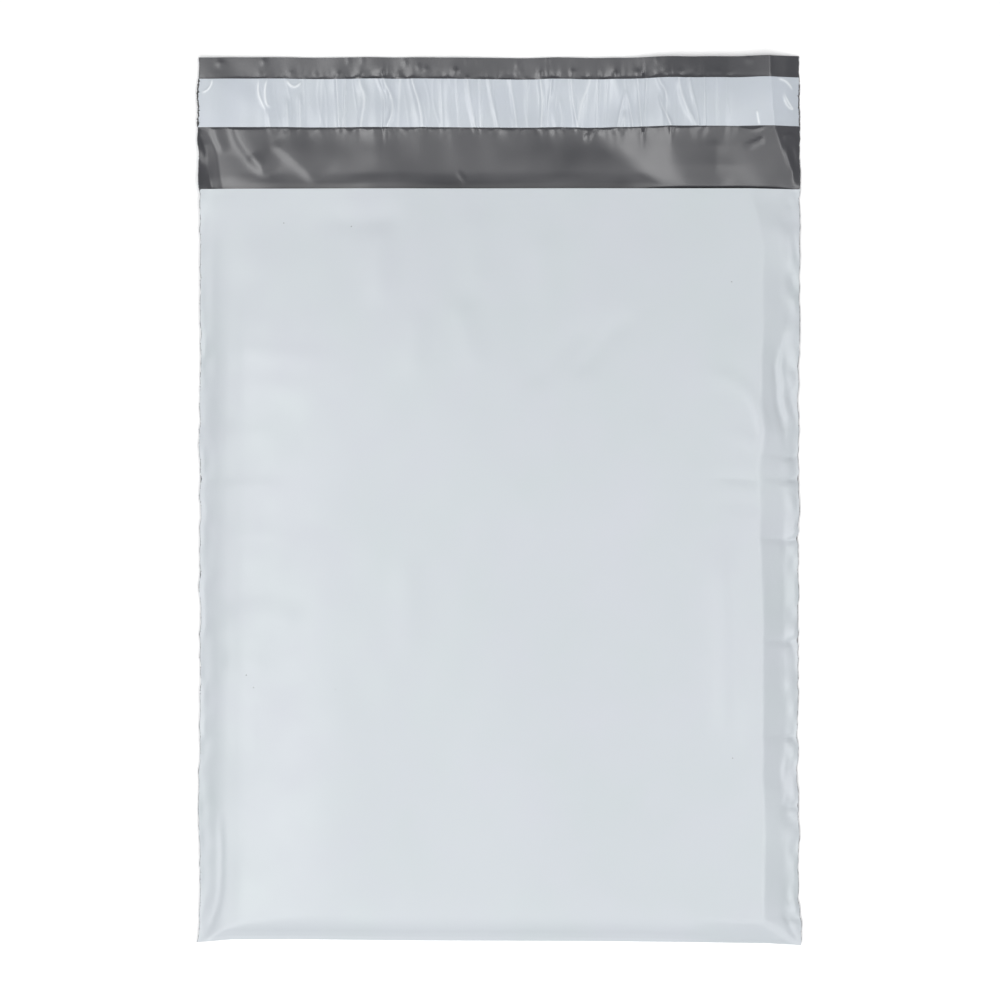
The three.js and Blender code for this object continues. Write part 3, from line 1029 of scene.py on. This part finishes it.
weld_film = char_material("melted_film", ("#c9cfd4", "#6f7376"), 4, 0.42)
grey_melt = char_material("melted_grey_film", ("#b9bdc1", "#5a5a5c"), 1.2, 0.5)
soot = char_material("charred_film", ("#8e9193", "#3e3d3b"), 0.5, 0.6)
BEAD = bead_tree()
SOCKETS = {item.name: item.identifier for item in BEAD.interface.items_tree if item.in_out == "INPUT"}
EDGE_STEP = 0.6
BEAD_LOW, LINER_BEAD_LOW = 0.3, 0.7  # the lowest the beads' middles may lie, to clear the floor


def melted_edge(name, sides, start, end, height, bead, seed, **sizes):
    """A bead along the cut edges on the given sides (-1 left, 1 right), from start to end. The sizes
    are the tree's inputs, in millimetres."""
    points, edges = [], []
    for side in sides:
        y = spaced([(start, EDGE_STEP), (end, EDGE_STEP)])
        edges += [(len(points) + i, len(points) + i + 1) for i in range(len(y) - 1)]
        points += list(laid(side * SIDE, y, height))
    piece = new_object(name, points, edges=edges)
    nodes = piece.modifiers.new("bead", "NODES")
    nodes.node_group = BEAD
    given = {key.replace("_", " ").capitalize(): size * MM for key, size in sizes.items()}
    given.update({"Bead material": bead, "Crumb material": soot, "Seed": seed})
    for socket, value in given.items():
        nodes[SOCKETS[socket]] = value
    return freeze(piece)


def weld_line(u, y):
    return np.maximum(weld_height(u, y), BEAD_LOW)


def lip_edge_line(u, y):
    return np.maximum(lip_height(u, y) + FILM / 2, BEAD_LOW)


def liner_end_line(u, y):
    return np.maximum(lip_height(u, y) + FILM + GLUE_THICKNESS, LINER_BEAD_LOW)


side_welds = melted_edge(
    "side_welds", (-1, 1), FOLD + 0.1, MOUTH + 0.4, weld_line, weld_film, 5,
    radius=0.17, lumps=0.2, lump_size=1.3, crumb_spacing=1.4, crumb_radius=0.22,
)
lip_edges = melted_edge(
    "lip_cut_edges", (-1, 1), MOUTH + 0.6, LIP_END - 0.3, lip_edge_line, grey_melt, 6,
    radius=0.16, lumps=0.25, lump_size=1.2, crumb_spacing=2.6, crumb_radius=0.2,
)
liner_end_left = melted_edge(
    "liner_end_left", (-1,), LINER[0] + 0.3, LINER[1] - 0.2, liner_end_line, grey_melt, 7,
    radius=0.3, lumps=1.2, lump_size=1.1, crumb_spacing=0.35, crumb_radius=0.4,
)
liner_end_right = melted_edge(
    "liner_end_right", (1,), LINER[0] + 0.3, LINER[1] - 3, liner_end_line, grey_melt, 8,
    radius=0.25, lumps=0.5, lump_size=1.0, crumb_spacing=0.7, crumb_radius=0.3,
)

# %% [markdown]
# ## Specks
#
# A few specks of dust and carbon sit on the front panel. Each is a flat chip of a few corners, laid
# on the film.

# %% Lay the specks
SPECKS = [
    (-90.9, 116.5), (97.7, 91.6), (-106.6, -73.9), (-69, -79.8), (-62.4, 115), (-103.5, -79.1), (98, -108.7),
]
SPECK_RADIUS = 0.25
SPECK_CORNERS = 7
SPECK_THICKNESS = 0.04
SPECK_LIFT = 0.05  # of a speck's face above the film


def lay_specks():
    rng = np.random.default_rng(51)
    points, faces = [], []
    for u, y in SPECKS:
        turn = np.arange(SPECK_CORNERS) / SPECK_CORNERS * 2 * np.pi
        reach = SPECK_RADIUS * rng.uniform(0.5, 1.1, SPECK_CORNERS)
        across, down = u + reach * np.cos(turn), y + reach * np.sin(turn)
        faces.append([len(points) + i for i in range(SPECK_CORNERS)])
        points += list(np.stack([across, down, front_height(across, down) + SPECK_LIFT], axis=1))
    return new_object("dust_specks", points, faces=faces)


specks = lay_specks()
finish_sheet(specks, SPECK_THICKNESS, soot)

# %% [markdown]
# ## Tie the pieces to the model
#
# The film and the two strips stand for the model's three plain solids. The beads and specks are new
# pieces. Nothing on the bag moves, so all of them ride on its one body.

for piece, slot in (
    (bag, "pale_film"), (adhesive, "hot_melt"), (liner, "liner_film"), (side_welds, "pale_film"),
    (lip_edges, "pale_film"), (liner_end_left, "liner_film"), (liner_end_right, "liner_film"),
    (specks, "pale_film"),
):
    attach(piece, "root")
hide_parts("bag_film")
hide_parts("adhesive_strip")
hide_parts("release_liner")
